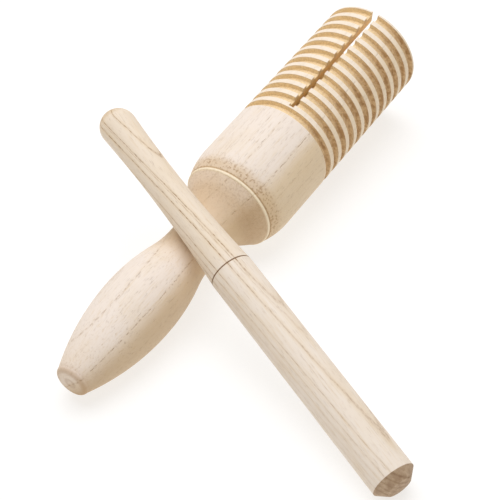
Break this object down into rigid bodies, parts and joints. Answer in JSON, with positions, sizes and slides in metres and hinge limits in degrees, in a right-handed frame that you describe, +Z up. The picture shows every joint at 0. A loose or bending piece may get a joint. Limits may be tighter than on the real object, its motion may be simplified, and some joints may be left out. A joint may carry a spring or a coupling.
{
  "type": "guiro",
  "caption": "Turned wooden guiro, its hollow grooved and slotted head and its spindle handle in one piece, with a separate turned wooden beater laid across its neck.",
  "frame": {"origin": "centre of the outer box on the floor, with the guiro lying on its side and the beater leaning across its neck", "axes": "+X towards the guiro's open mouth, along the guiro seen from above; +Z up from the floor; +Y to the side of the beater's raised thin end"},
  "size_m": [0.2408, 0.203, 0.0629],
  "materials": {
    "body_wood": "bare sanded pale wood, coarser and browner in the grooves and the slot",
    "beater_wood": "bare sanded pale wood with dark grain lines and a thin burnt ring"
  },
  "bodies": {
    "guiro": {"guiro_body": "body_wood"},
    "beater": {"beater": "beater_wood"}
  },
  "joints": [
    {"name": "beater_lift", "type": "slide", "parent": "guiro", "child": "beater", "axis": [0, 0, 1], "range_m": [0, 0.12]}
  ]
}
